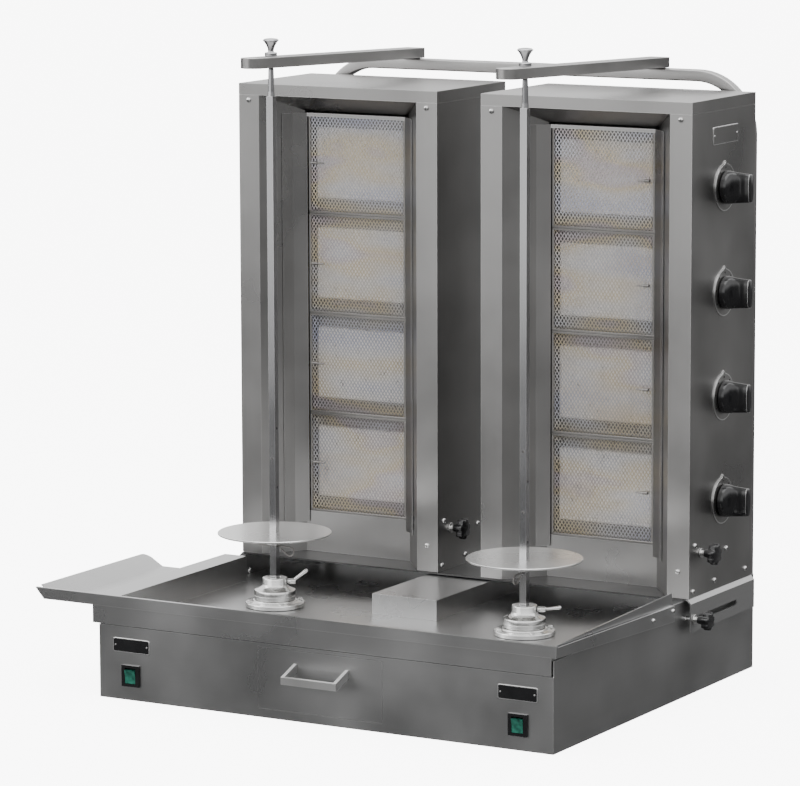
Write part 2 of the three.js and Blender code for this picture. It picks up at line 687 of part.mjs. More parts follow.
for (const [name, side] of SIDES) {
  const x = side * SPIT_X;
  const leverHeading = side < 0 ? 0.35 : 0.25;
  // The left handle stands up and the right one lies flat.
  const leverRoll = side < 0 ? Math.PI / 2 : 0;
  place(`${name}_switch_housing`, switchHousing(side * SWITCH_X), BLACK);
  place(`${name}_switch_rocker`, switchRocker(side * SWITCH_X), GREEN);
  place(`${name}_spit_motor`, spitMotor(x), GREY_PAINT);
  place(`${name}_bearing_flange`, bearingFlange(x), TURNED);
  place(`${name}_spit_hub`, rotatingHub(x), TURNED);
  place(`${name}_hub_lever`, hubLever(x, leverHeading, leverRoll), TURNED);
  place(`${name}_spit_rod`, spitRod(x, side), CHROME);
  place(`${name}_meat_disc`, meatDisc(x), TURNED);
  place(`${name}_hairpin_clip`, hairpinClip(x, side), CHROME);
  place(`${name}_top_pin`, topPin(x), CHROME);
  place(`${name}_support_arm`, supportArm(x), BRUSHED);
  place(`${name}_base_clamp_knob`, baseClamp(side), BLACK);
  place(`${name}_tower_clamp_knob`, towerClamp(side), BLACK);
  place(`${name}_tower_casing`, towerCasing(side), BRUSHED);
  place(`${name}_tower_hood`, towerHood(side), BRUSHED);
  place(`${name}_heat_shield`, heatShield(side), BRUSHED);
  place(`${name}_gas_manifold`, gasManifold(side), BRASS);
  for (let index = 0; index < BURNER_COUNT; index += 1) {
    place(`${name}_burner_${index + 1}`, burner(side, index), CERAMIC);
    place(`${name}_gas_knob_${index + 1}`, gasKnob(side, knobHeights()[index]), BLACK);
  }
}

export default broiler;
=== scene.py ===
import math

import bmesh
import bpy
from mathutils import Matrix, Vector


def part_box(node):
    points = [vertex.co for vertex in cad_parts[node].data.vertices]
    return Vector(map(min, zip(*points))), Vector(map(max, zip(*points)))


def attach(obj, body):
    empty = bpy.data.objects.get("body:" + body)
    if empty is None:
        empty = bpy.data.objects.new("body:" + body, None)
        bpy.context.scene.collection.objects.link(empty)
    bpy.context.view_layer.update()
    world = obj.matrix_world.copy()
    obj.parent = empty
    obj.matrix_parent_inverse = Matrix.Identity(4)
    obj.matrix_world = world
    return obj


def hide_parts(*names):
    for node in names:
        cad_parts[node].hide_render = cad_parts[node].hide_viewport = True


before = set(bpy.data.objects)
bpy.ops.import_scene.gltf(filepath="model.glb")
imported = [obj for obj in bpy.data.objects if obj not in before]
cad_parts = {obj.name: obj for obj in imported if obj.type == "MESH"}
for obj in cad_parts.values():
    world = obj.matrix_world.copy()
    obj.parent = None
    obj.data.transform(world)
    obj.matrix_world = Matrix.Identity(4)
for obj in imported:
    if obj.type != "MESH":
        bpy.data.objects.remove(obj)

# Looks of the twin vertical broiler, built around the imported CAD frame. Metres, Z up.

MM = 0.001
CLIP_WIRE = 0.0015
SKIRT_FACE = 0.434    # |x| that parts the deck, painted dark as shade, from the outer skin of the skirts
BRUSH_STRETCH = 0.012
SIDES = (("left", -1), ("right", 1))
BURNERS = range(1, 5)
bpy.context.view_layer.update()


# ---- places taken from the frame ------------------------------------------------------------------

def middle(cad):
    low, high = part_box(cad)
    return (Vector(low) + Vector(high)) / 2


def low_corner(cad):
    return Vector(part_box(cad)[0])


def high_corner(cad):
    return Vector(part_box(cad)[1])


def outer_wall(name, side):
    """X of a tower's outer wall."""
    corner = high_corner if side > 0 else low_corner
    return corner(f"{name}_tower_casing").x


# ---- shapes: each is (points, faces) --------------------------------------------------------------

def loft(outlines):
    """Skins a stack of outlines of equal point count, and closes both ends."""
    count = len(outlines[0])
    points = [Vector(point) for outline in outlines for point in outline]
    faces = [tuple(reversed(range(count)))]
    for level in range(len(outlines) - 1):
        base = level * count
        for index in range(count):
            after = (index + 1) % count
            faces.append((base + index, base + after, base + count + after, base + count + index))
    last = (len(outlines) - 1) * count
    faces.append(tuple(range(last, last + count)))
    return points, faces


def in_mm(profile):
    return [(radius * MM, height * MM) for radius, height in profile]


def circle(radius, height, segments=48):
    turns = [2 * math.pi * index / segments for index in range(segments)]
    return [(radius * math.cos(turn), radius * math.sin(turn), height) for turn in turns]


def lathe(profile, segments=48):
    """Solid of revolution about Z from (radius, height) pairs."""
    return loft([circle(max(radius, 1e-5), height, segments) for radius, height in profile])


def ring(profile, segments=64):
    """Closed ring about Z whose cross-section is the closed (radius, height) outline."""
    points, faces = loft([circle(radius, height, segments) for radius, height in profile])
    sides = faces[1:-1]
    last = (len(profile) - 1) * segments
    for index in range(segments):
        after = (index + 1) % segments
        sides.append((last + index, last + after, after, index))
    return points, sides


def rounded_rectangle(half_u, half_v, radius, height, steps=6):
    outline = []
    for quarter, (u, v) in enumerate(((1, 1), (-1, 1), (-1, -1), (1, -1))):
        for step in range(steps + 1):
            turn = (quarter + step / steps) * math.pi / 2
            outline.append((u * (half_u - radius) + radius * math.cos(turn),
                            v * (half_v - radius) + radius * math.sin(turn), height))
    return outline


def cuboid(low, high, edge=0.0006):
    """Box with softened upright edges and chamfered ends."""
    low, high = Vector(low), Vector(high)
    size = high - low
    edge = min(edge, min(size) / 3)
    outlines = [
        rounded_rectangle(size.x / 2 - edge, size.y / 2 - edge, edge / 2, -size.z / 2, 2),
        rounded_rectangle(size.x / 2, size.y / 2, edge, -size.z / 2 + edge, 2),
        rounded_rectangle(size.x / 2, size.y / 2, edge, size.z / 2 - edge, 2),
        rounded_rectangle(size.x / 2 - edge, size.y / 2 - edge, edge / 2, size.z / 2, 2),
    ]
    return moved(loft(outlines), Matrix.Translation((low + high) / 2))


def swept(path, section, binormal):
    """Sweeps a closed section along a flat path; binormal is the normal of the path's plane."""
    outlines = []
    for index, here in enumerate(path):
        before = path[max(index - 1, 0)]
        after = path[min(index + 1, len(path) - 1)]
        across = binormal.cross(after - before).normalized()
        outlines.append([here + binormal * u + across * v for u, v in section])
    return loft(outlines)


def moved(shape, matrix):
    points, faces = shape
    return [matrix @ Vector(point) for point in points], faces


def joined(shapes):
    points, faces = [], []
    for some_points, some_faces in shapes:
        start = len(points)
        points.extend(some_points)
        faces.extend(tuple(start + index for index in face) for face in some_faces)
    return points, faces


def outward(side, place):
    """Turns local Z to point away from the machine along X."""
    return Matrix.Translation(place) @ Matrix.Rotation(side * math.pi / 2, 4, "Y")


def forward(place):
    """Turns local Z to the front, -Y."""
    return Matrix.Translation(place) @ Matrix.Rotation(math.pi / 2, 4, "X")


def piece(name, layers, body, stands_for=(), angle=32):
    """One object from (shape, material) layers, riding on a CAD body."""
    mesh = bpy.data.meshes.new(name)
    whole = bmesh.new()
    for number, (shape, material) in enumerate(layers):
        mesh.materials.append(material)
        corners = [whole.verts.new(point) for point in shape[0]]
        for face in shape[1]:
            whole.faces.new([corners[index] for index in face]).material_index = number
    bmesh.ops.recalc_face_normals(whole, faces=whole.faces)
    whole.to_mesh(mesh)
    whole.free()
    mesh.shade_smooth()
    mesh.set_sharp_from_angle(angle=math.radians(angle))
    made = bpy.data.objects.new(name, mesh)
    bpy.context.collection.objects.link(made)
    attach(made, body)
    if stands_for:
        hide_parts(*stands_for)
    return made


# ---- material building blocks ---------------------------------------------------------------------

def new_material(name, metallic, roughness):
    material = bpy.data.materials.new(name)
    material.use_nodes = True
    shader = material.node_tree.nodes["Principled BSDF"]
    shader.inputs["Metallic"].default_value = metallic
    shader.inputs["Roughness"].default_value = roughness
    return material, material.node_tree, shader


def node(tree, kind, settings=None, **inputs):
    made = tree.nodes.new(kind)
    for name, value in (settings or {}).items():
        setattr(made, name, value)
    for name, value in inputs.items():
        socket = made.inputs[int(name[1:])] if name[0] == "_" else made.inputs[name]
        if isinstance(value, bpy.types.NodeSocket):
            tree.links.new(value, socket)
        else:
            socket.default_value = value
    return made


def position(tree):
    return node(tree, "ShaderNodeTexCoord").outputs["Object"]


def noise(tree, scale, detail=3.0, vector=None, stretch=(1, 1, 1)):
    mapped = node(tree, "ShaderNodeMapping", Vector=vector or position(tree), Scale=stretch)
    made = node(tree, "ShaderNodeTexNoise", Vector=mapped.outputs[0], Scale=scale, Detail=detail)
    return made.outputs[0]


def remapped(tree, value, low, high, start=0.3, end=0.7):
    made = node(tree, "ShaderNodeMapRange", _0=value, _1=start, _2=end, _3=low, _4=high)
    return made.outputs[0]


def blended(tree, factor, first, second):
    made = tree.nodes.new("ShaderNodeMix")
    made.data_type = "RGBA"
    for socket, value in ((made.inputs[0], factor), (made.inputs[6], first), (made.inputs[7], second)):
        if isinstance(value, bpy.types.NodeSocket):
            tree.links.new(value, socket)
        elif isinstance(value, tuple):
            socket.default_value = (*value, 1)
        else:
            socket.default_value = value
    return made.outputs[2]


def math_node(tree, operation, first, second=0.5):
    return node(tree, "ShaderNodeMath", {"operation": operation}, _0=first, _1=second).outputs[0]


def raised(tree, shader, height, strength, distance):
    bump = node(tree, "ShaderNodeBump", Height=height, Strength=strength, Distance=distance)
    tree.links.new(bump.outputs[0], shader.inputs["Normal"])


def grain(tree, upright, density=170):
    """Brush lines: along Z or level on walls, and along X on level faces."""
    facing = node(tree, "ShaderNodeNewGeometry").outputs["True Normal"]
    height = node(tree, "ShaderNodeSeparateXYZ", _0=facing).outputs["Z"]
    level = math_node(tree, "GREATER_THAN", math_node(tree, "ABSOLUTE", height), 0.7)
    wall_stretch = (1, 1, BRUSH_STRETCH) if upright else (BRUSH_STRETCH, BRUSH_STRETCH, 1)
    walls = noise(tree, density, 2.0, stretch=wall_stretch)
    floors = noise(tree, density, 2.0, stretch=(BRUSH_STRETCH, 1, 1))
    return node(tree, "ShaderNodeMix", _0=level, _2=walls, _3=floors).outputs[0]


def bright_edges(tree, radius):
    """Mask for a painted edge highlight: 1 along folded edges, 0 on flat faces."""
    soft = node(tree, "ShaderNodeBevel", {"samples": 4}, Radius=radius).outputs[0]
    flat = node(tree, "ShaderNodeNewGeometry").outputs["Normal"]
    agreement = node(tree, "ShaderNodeVectorMath", {"operation": "DOT_PRODUCT"}, _0=soft, _1=flat)
    return remapped(tree, agreement.outputs["Value"], 1, 0, 0.78, 0.985)


# ---- materials ------------------------------------------------------------------------------------

def brushed_metal(name, shade, roughness, upright=True, edge=1.3, cloud=0.10):
    """Rolled sheet: brush lines, cloudy wiping marks, and a painted highlight that lightens the colour
    along folded edges.
    """
    material, tree, shader = new_material(name, 1.0, roughness)
    lines = grain(tree, upright)
    clouds = noise(tree, 5.0, 4.0)
    dark = tuple(channel * (1 - cloud) for channel in shade)
    light = tuple(min(channel * (1 + cloud), 1) for channel in shade)
    clouded = blended(tree, remapped(tree, clouds, 0, 1), dark, light)
    lined = blended(tree, remapped(tree, lines, 0, 0.05), clouded, tuple(c * 0.7 for c in shade))
    # Painted highlight: folded edges get a lighter colour, as if they caught the light.
    highlight_lift = 0.25
    painted_edge_highlight = tuple(min(channel * edge + highlight_lift, 1) for channel in shade)
    colour = blended(tree, bright_edges(tree, 0.0018), lined, painted_edge_highlight)
    tree.links.new(colour, shader.inputs["Base Color"])
    wiped = remapped(tree, clouds, roughness * 0.82, roughness * 1.2)
    tree.links.new(wiped, shader.inputs["Roughness"])
    return material


def deck_shade_steel():
    """Steel painted dark as shade on the deck between the side skirts, and brushed steel on their
    outer faces.
    """
    material, tree, shader = new_material("carriage_steel", 1.0, 0.42)
    across = node(tree, "ShaderNodeSeparateXYZ", _0=position(tree)).outputs["X"]
    outside = math_node(tree, "GREATER_THAN", math_node(tree, "ABSOLUTE", across), SKIRT_FACE)
    lines = grain(tree, False)
    clean = blended(tree, remapped(tree, lines, 0, 0.05), (0.42, 0.42, 0.42), (0.29, 0.29, 0.29))
    patches = remapped(tree, noise(tree, 12.0, 4.0), 0, 1)
    # Painted shade: the deck between the skirts is coloured near black, standing for the shade in the
    # gap under the towers.
    painted_deck_shade = blended(tree, patches, (0.07, 0.07, 0.07), (0.11, 0.11, 0.11))
    tree.links.new(blended(tree, outside, painted_deck_shade, clean), shader.inputs["Base Color"])
    return material


def turned_metal(name, shade, roughness):
    """Lathe-turned metal with fine rings across its height."""
    material, tree, shader = new_material(name, 1.0, roughness)
    rings = noise(tree, 900, 1.0, stretch=(0.02, 0.02, 1))
    clouds = noise(tree, 40.0, 2.0)
    dark = tuple(channel * 0.86 for channel in shade)
    colour = blended(tree, remapped(tree, clouds, 0, 1), dark, shade)
    tree.links.new(colour, shader.inputs["Base Color"])
    tree.links.new(remapped(tree, rings, roughness * 0.8, roughness * 1.3), shader.inputs["Roughness"])
    raised(tree, shader, rings, 0.12, 0.0002)
    return material


def moulded_plastic(name, shade, roughness):
    """Glossy moulding with faint orange peel and a little dust."""
    material, tree, shader = new_material(name, 0.0, roughness)
    shader.inputs["Coat Weight"].default_value = 0.35
    dust = noise(tree, 60.0, 5.0)
    dusty = tuple(channel + 0.004 for channel in shade)
    colour = blended(tree, remapped(tree, dust, 0, 1), shade, dusty)
    tree.links.new(colour, shader.inputs["Base Color"])
    tree.links.new(remapped(tree, dust, roughness * 0.8, roughness * 1.4), shader.inputs["Roughness"])
    raised(tree, shader, noise(tree, 500.0, 1.0), 0.05, 0.0002)
    return material


def green_lens():
    material, tree, shader = new_material("green_lens", 0.0, 0.16)
    shader.inputs["Coat Weight"].default_value = 0.6
    depth = noise(tree, 120.0, 2.0)
    colour = blended(tree, remapped(tree, depth, 0, 1), (0.008, 0.07, 0.05), (0.03, 0.20, 0.14))
    tree.links.new(colour, shader.inputs["Base Color"])
    return material


def heated_screen():
    """Steel mesh with straw, violet and blue heat tints in soft bands."""
    material, tree, shader = new_material("heated_screen", 1.0, 0.32)
    bands = noise(tree, 7.0, 2.0, stretch=(0.6, 1, 1.9))
    ramp = node(tree, "ShaderNodeValToRGB", _0=bands)
    stops = ((0.30, (0.44, 0.45, 0.54)), (0.44, (0.55, 0.54, 0.55)), (0.56, (0.58, 0.50, 0.36)),
             (0.61, (0.50, 0.44, 0.45)), (0.70, (0.55, 0.55, 0.59)))
    while len(ramp.color_ramp.elements) < len(stops):
        ramp.color_ramp.elements.new(0.5)
    for element, (place, shade) in zip(ramp.color_ramp.elements, stops):
        element.position = place
        element.color = (*shade, 1)
    tree.links.new(ramp.outputs[0], shader.inputs["Base Color"])
    tree.links.new(remapped(tree, noise(tree, 90.0), 0.26, 0.42), shader.inputs["Roughness"])
    return material


def burner_tile():
    """Off-white ceramic with scorched patches, and fine flame ports painted as dark spots of shade."""
    material, tree, shader = new_material("burner_tile", 0.0, 0.85)
    scorch = noise(tree, 9.0, 4.0, stretch=(0.7, 1, 1.6))
    clean = (0.93, 0.90, 0.87)
    stained = blended(tree, remapped(tree, scorch, 0, 0.45, 0.52, 0.75), clean, (0.66, 0.52, 0.36))
    ports = node(tree, "ShaderNodeTexVoronoi", Vector=position(tree), Scale=420.0).outputs["Distance"]
    # Painted shade: the flame ports are dark spots in the colour, standing for the shade inside the
    # holes.
    port_shade = remapped(tree, ports, 0.30, 0, 0.12, 0.3)
    tree.links.new(blended(tree, port_shade, stained, (0.20, 0.15, 0.12)), shader.inputs["Base Color"])
    raised(tree, shader, ports, 0.4, 0.0006)
    return material


def brass():
    material, tree, shader = new_material("brass_pipe", 1.0, 0.36)
    tarnish = noise(tree, 30.0, 4.0)
    colour = blended(tree, remapped(tree, tarnish, 0, 1), (0.42, 0.30, 0.12), (0.66, 0.50, 0.24))
    tree.links.new(colour, shader.inputs["Base Color"])
    tree.links.new(remapped(tree, tarnish, 0.28, 0.5), shader.inputs["Roughness"])
    return material


def painted_drive():
    material, tree, shader = new_material("painted_drive", 0.1, 0.55)
    grit = noise(tree, 220.0, 4.0)
    colour = blended(tree, remapped(tree, grit, 0, 1), (0.055, 0.06, 0.065), (0.09, 0.095, 0.10))
    tree.links.new(colour, shader.inputs["Base Color"])
    raised(tree, shader, grit, 0.2, 0.0003)
    return material


CABINET = brushed_metal("cabinet_steel", (0.43, 0.43, 0.43), 0.33, upright=False)
TOWER = brushed_metal("tower_steel", (0.39, 0.385, 0.38), 0.32)
TRAY = brushed_metal("tray_steel", (0.50, 0.50, 0.50), 0.30, upright=False)
SATIN = brushed_metal("satin_metal", (0.80, 0.80, 0.79), 0.30, upright=False, cloud=0.04)
TURNED = turned_metal("turned_aluminium", (0.80, 0.80, 0.79), 0.20)
ROD = brushed_metal("polished_rod", (0.50, 0.50, 0.51), 0.22, cloud=0.05)
CARRIAGE = deck_shade_steel()
DARK_STEEL = brushed_metal("burner_steel", (0.26, 0.25, 0.24), 0.42)
BLACK = moulded_plastic("black_plastic", (0.008, 0.008, 0.009), 0.16)
# Dark marks: the dial's index marks, and the painted shade of the screw drives.
MARK_AND_SHADE = moulded_plastic("dial_mark_and_drive_shade", (0.01, 0.01, 0.01), 0.45)
GREEN = green_lens()
SCREEN = heated_screen()
TILE = burner_tile()
BRASS = brass()
DRIVE = painted_drive()


def dress(material, *nodes):
    for name in nodes:
        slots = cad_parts[name].data.materials
        slots.clear()
        slots.append(material)


def dress_cad():
    """Finishes for the CAD nodes that no piece replaces."""
    dress(CABINET, "base_cabinet", "bottom_plate", "drawer_box", "drawer_front")
    dress(TRAY, "drip_tray", "center_divider")
    dress(CARRIAGE, "tower_carriage")
    dress(SATIN, "drawer_handle")
    for name, _ in SIDES:
        dress(TOWER, f"{name}_tower_casing", f"{name}_tower_hood", f"{name}_heat_shield")
        dress(BLACK, f"{name}_switch_housing")
        dress(GREEN, f"{name}_switch_rocker")
        dress(DRIVE, f"{name}_spit_motor")
        dress(ROD, f"{name}_spit_rod")
        dress(BRASS, f"{name}_gas_manifold")


# ---- frame tube, arms and spit parts --------------------------------------------------------------

def rear_frame():
    """Square tube with soft corners, bent at both shoulders."""
    low, high = low_corner("rear_frame_tube"), high_corner("rear_frame_tube")
    half = 0.010
    bend = 0.098
    depth = (low.y + high.y) / 2
    left, right, top = low.x + half, high.x - half, high.z - half
    path = [Vector((left, depth, low.z))]
    steps = 16
    for bend_x, start in ((left + bend, math.pi), (right - bend, math.pi / 2)):
        for step in range(steps + 1):
            turn = start - step / steps * math.pi / 2
            path.append(Vector((bend_x + bend * math.cos(turn), depth,
                                top - bend + bend * math.sin(turn))))
    path.append(Vector((right, depth, low.z)))
    section = [(u, v) for u, v, _ in rounded_rectangle(half, half, 0.0028, 0, 4)]
    tube = swept(path, section, Vector((0, 1, 0)))
    piece("frame_tube", [(tube, TOWER)], "base", ["rear_frame_tube"])


def support_arm(name):
    """Flat bar with a round end that climbs to the front."""
    cad = f"{name}_support_arm"
    low, high = low_corner(cad), high_corner(cad)
    half = (high.x - low.x) / 2
    thick = 0.018
    rise = (high.z - low.z - thick) / (high.y - low.y)
    outline = [(half, high.y), (half, low.y + half)]
    steps = 24
    for step in range(1, steps):
        turn = -step * math.pi / steps
        outline.append((half * math.cos(turn), low.y + half + half * math.sin(turn)))
    outline += [(-half, low.y + half), (-half, high.y)]
    centre_x = (low.x + high.x) / 2

    def level(raise_by, shrink):
        points = []
        for x, y in outline:
            inner_y = y + (shrink if y < low.y + half + 0.001 else -shrink)
            points.append((centre_x + x * (1 - shrink / half), inner_y,
                           low.z + (high.y - y) * rise + raise_by))
        return points

    edge = 0.0008
    bar = loft([level(0, edge), level(edge, 0), level(thick - edge, 0), level(thick, edge)])
    piece(f"{name}_arm", [(bar, TOWER)], "base", [cad])


def top_pin(name):
    """Turned pin with a flared grip that drops into the rod's end."""
    cad = f"{name}_top_pin"
    low, high = low_corner(cad), high_corner(cad)
    centre = middle(cad)
    total = (high.z - low.z) / MM
    grip = 30
    collar = total - grip
    profile = [
        (1.8, 0), (2.5, 0.8), (2.5, 9), (4.5, 11), (4.5, collar), (9.8, collar),
        (10.4, collar + 0.8), (10.4, collar + 5.2), (9.8, collar + 6), (5.2, collar + 7),
        (4.8, collar + 9), (5.6, collar + 13), (7.6, collar + 18), (10.6, collar + 23),
        (13.4, collar + 26), (13.4, collar + 27), (11, collar + 29), (6, collar + 29.8), (0, total),
    ]
    shape = moved(lathe(in_mm(profile)), Matrix.Translation((centre.x, centre.y, low.z)))
    piece(f"{name}_pin", [(shape, ROD)], f"{name}_pin", [cad])


def hub(name):
    """Turned hub on a bolted flange."""
    centre = middle(f"{name}_spit_rod")
    foot = Matrix.Translation((centre.x, centre.y, 0))
    hub_profile = [
        (14, 121), (14, 141), (34.6, 141), (35.5, 142), (35.5, 147.4), (34.9, 148), (35.5, 148.6),
        (35.5, 155), (34.8, 156.8), (32, 158), (28, 159.4), (25, 161.4), (22.8, 164), (21.6, 167),
        (21.5, 175.4), (20.8, 177.4), (19.6, 178), (10, 178), (9.2, 177.2), (9, 174), (0, 174),
    ]
    flange_profile = [
        (15.4, 128.4), (50, 128.4), (51, 129.2), (51, 135), (50.2, 136.2), (46, 136.8), (40, 137.4),
        (38.6, 138.4), (38, 139.8), (37, 140.4), (15.4, 140.4),
    ]
    bolt_profile = ((4.6, 136.2), (5, 136.8), (5, 139.6), (4.2, 140.3), (0, 140.4))
    bolt_circle = 0.0445
    shape = moved(lathe(in_mm(hub_profile), 72), foot)
    piece(f"{name}_hub", [(shape, TURNED)], f"{name}_spit", [f"{name}_spit_hub"])
    base = moved(ring(in_mm(flange_profile), 72), foot)
    bolts = []
    for corner in range(4):
        turn = math.pi / 4 + corner * math.pi / 2
        at = Matrix.Translation((centre.x + bolt_circle * math.cos(turn),
                                 centre.y + bolt_circle * math.sin(turn), 0))
        bolts.append(moved(lathe(in_mm(bolt_profile), 6), at))
    piece(f"{name}_flange", [(joined([base, *bolts]), TURNED)], "base",
          [f"{name}_bearing_flange"])


def hub_lever(name, heading, roll):
    """Clamp screw in the hub's neck with its slim tapered handle."""
    centre = middle(f"{name}_spit_rod")
    neck_height = 0.1716
    handle_reach = 0.030
    slant = math.radians(52)
    seat = (Matrix.Translation((centre.x, centre.y, neck_height))
            @ Matrix.Rotation(heading, 4, "Z") @ Matrix.Rotation(roll, 4, "X"))
    boss_profile = ((4.2, 22.4), (4.6, 23), (5, 32), (4.6, 35.6), (3.8, 36.4), (0, 36.4))
    boss = moved(lathe(in_mm(boss_profile), 24), seat @ Matrix.Rotation(math.pi / 2, 4, "Y"))
    handle_profile = ((0, -2), (2.2, -1.6), (2.3, 4), (2.8, 18), (3.3, 29), (3.4, 31.5),
                      (2.6, 33.4), (0, 34))
    along = Vector((math.sin(slant), math.cos(slant), 0))
    lean = Vector((0, 0, 1)).rotation_difference(along).to_matrix().to_4x4()
    handle = moved(lathe(in_mm(handle_profile), 20),
                   seat @ Matrix.Translation((handle_reach, 0, 0)) @ lean)
    piece(f"{name}_clamp_lever", [(joined([boss, handle]), TURNED)], f"{name}_lever",
          [f"{name}_hub_lever"])


def meat_disc(name):
    """Flat disc with a softened rim and a square sleeve below."""
    cad = f"{name}_meat_disc"
    centre, low, high = middle(cad), low_corner(cad), high_corner(cad)
    radius = (high.x - low.x) / 2
    top = high.z
    bottom = top - 0.003
    edge = 0.0007
    bore = 0.0068
    plate = ring([(bore, bottom), (radius - edge, bottom), (radius, bottom + edge),
                  (radius, top - edge), (radius - edge, top), (bore, top)], 128)
    plate = moved(plate, Matrix.Translation((centre.x, centre.y, 0)))
    wall = 0.009
    hole = 0.00645
    sleeve = []
    for low_x, high_x, low_y, high_y in ((-wall, -hole, -wall, wall), (hole, wall, -wall, wall),
                                         (-hole, hole, -wall, -hole), (-hole, hole, hole, wall)):
        sleeve.append(cuboid((centre.x + low_x, centre.y + low_y, low.z),
                             (centre.x + high_x, centre.y + high_y, bottom), 0.0003))
    piece(f"{name}_disc", [(joined([plate, *sleeve]), SATIN)], f"{name}_disc", [cad])


def bezier(start, first, second, end, steps=12):
    points = []
    for step in range(1, steps + 1):
        t = step / steps
        points.append(start * (1 - t) ** 3 + first * 3 * t * (1 - t) ** 2
                      + second * 3 * t * t * (1 - t) + end * t ** 3)
    return points


def hairpin(name, along):
    """Round wire clip: a leg through the rod, and a ring that hangs below it."""
    cad = f"{name}_hairpin_clip"
    centre = middle(f"{name}_spit_rod")
    level = high_corner(cad).z - CLIP_WIRE

    def at(reach, down):
        return Vector((centre.x, centre.y, level)) + along * reach * MM - Vector((0, 0, down * MM))

    path = [at(-53.5 + step * 7.5, 0) for step in range(10)]
    path += bezier(at(14, 0), at(28, 0), at(38, -1), at(38, 7.5))
    path += bezier(at(38, 7.5), at(38, 15), at(29, 17), at(23, 12.5))
    path += bezier(at(23, 12.5), at(19, 9.5), at(16, 7), at(12.5, 4.6))
    section = [(u, v) for u, v, _ in circle(CLIP_WIRE, 0, 12)]
    wire = swept(path, section, along.cross(Vector((0, 0, 1))))
    piece(f"{name}_clip_wire", [(wire, DARK_STEEL)], f"{name}_clip", [cad])


# ---- controls -------------------------------------------------------------------------------------

def grip_outline(half_x, half_y, power, height, segments=64):
    outline = []
    for index in range(segments):
        turn = 2 * math.pi * index / segments
        c, s = math.cos(turn), math.sin(turn)
        outline.append((half_x * math.copysign(abs(c) ** power, c),
                        half_y * math.copysign(abs(s) ** power, s), height))
    return outline


def gas_knob(name, side, number):
    """Round skirt that narrows into a grip bar, with a bright band near its end."""
    cad = f"{name}_gas_knob_{number}"
    centre = middle(cad)
    wall = outer_wall(name, side)
    # Half length, half width, power of the outline, height.
    levels = [
        (27.0, 27.0, 1.0, 3.0), (28.0, 28.0, 1.0, 4.2), (27.9, 27.9, 1.0, 9.0),
        (27.2, 26.5, 1.0, 13.5), (26.8, 22.0, 0.95, 16.0), (26.4, 15.0, 0.85, 18.5),
        (26.0, 10.5, 0.7, 21.0), (25.6, 8.6, 0.6, 25.0), (24.6, 8.0, 0.55, 36.0),
        (23.7, 8.0, 0.55, 46.5), (23.2, 7.6, 0.55, 48.8), (21.8, 6.4, 0.6, 49.7),
    ]
    body = loft([grip_outline(x * MM, y * MM, power, z * MM) for x, y, power, z in levels])
    trim = loft([grip_outline(23.8 * MM, 8.3 * MM, 0.55, height * MM) for height in (47.0, 47.9)])
    place = outward(side, (wall, centre.y, centre.z))
    piece(f"{name}_control_{number}", [(moved(body, place), BLACK), (moved(trim, place), SATIN)],
          f"{name}_knob_{number}", [cad])


def dial(name, side, number):
    """Steel dial plate with a pointed top, a raised rim and plain index marks."""
    centre = middle(f"{name}_gas_knob_{number}")
    wall = outer_wall(name, side)
    place = outward(side, (wall, centre.y, centre.z))
    # Local X points down on the right tower and up on the left one.
    up = -side
    segments = 96
    tip_angle = 9

    def outline(radius, tip, height):
        points = []
        for index in range(segments):
            turn = 2 * math.pi * index / segments
            c, s = math.cos(turn), math.sin(turn)
            reach = radius
            lean = c * up
            if lean > math.cos(math.radians(tip_angle)):
                off = abs(math.degrees(math.asin(s))) / tip_angle
                reach = radius + tip * (1 - off)
            points.append((reach * c, reach * s, height))
        return points

    plate = loft([outline(0.0400, 0.005, 0.0003), outline(0.0400, 0.005, 0.0014)])
    inner = loft([outline(0.0382, 0.004, 0.0013), outline(0.0380, 0.004, 0.0017)])
    mark_circle = 0.0335
    marks = []
    for step in range(7):
        turn = math.radians(-60 + 20 * step) * 2
        spot = Vector((up * mark_circle * math.cos(turn), mark_circle * math.sin(turn), 0))
        dot = lathe([(0.0019, 0.0016), (0.0019, 0.0020)], 12)
        marks.append(moved(dot, Matrix.Translation(spot)))
    piece(f"{name}_dial_{number}", [
        (moved(plate, place), SATIN), (moved(inner, place), TOWER),
        (moved(joined(marks), place), MARK_AND_SHADE),
    ], "carriage")


def clamp_knob(name, side, wall, head_radius, reach):
    """Bright screw and washer with a black lobed head."""
    cad = f"{name}_knob"
    # Known fault: with seven lobes the box's middle is 0.8 to 0.9 mm off the joint's axis in Y.
    centre = middle(cad)
    place = outward(side, (wall, centre.y, centre.z))
    lobes = 7
    wave = 1.6
    segments = 84

    def lobed(scale, height):
        points = []
        for index in range(segments):
            turn = 2 * math.pi * index / segments
            radius = (head_radius - wave + wave * math.cos(turn * lobes)) * scale
            points.append((radius * MM * math.cos(turn), radius * MM * math.sin(turn), height * MM))
        return points

    screw = lathe(in_mm((
        (3.8, -4), (4, -3.6), (4, reach), (8.2, reach), (8.5, reach + 0.4), (8.5, reach + 1.6),
        (8.2, reach + 2), (4.6, reach + 2.4), (4.6, reach + 9))), 32)
    neck = lathe(in_mm((
        (5.4, reach + 7), (6.2, reach + 7.6), (7, reach + 12), (8.6, reach + 17),
        (9.4, reach + 19))), 32)
    head = loft([lobed(0.86, reach + 18), lobed(0.97, reach + 18.8), lobed(1, reach + 20.5),
                 lobed(1, reach + 28), lobed(0.96, reach + 30), lobed(0.84, reach + 31)])
    piece(f"{name}_grip", [(moved(screw, place), TURNED),
                           (moved(joined([neck, head]), place), BLACK)],
          name, [cad])


# ---- burners --------------------------------------------------------------------------------------

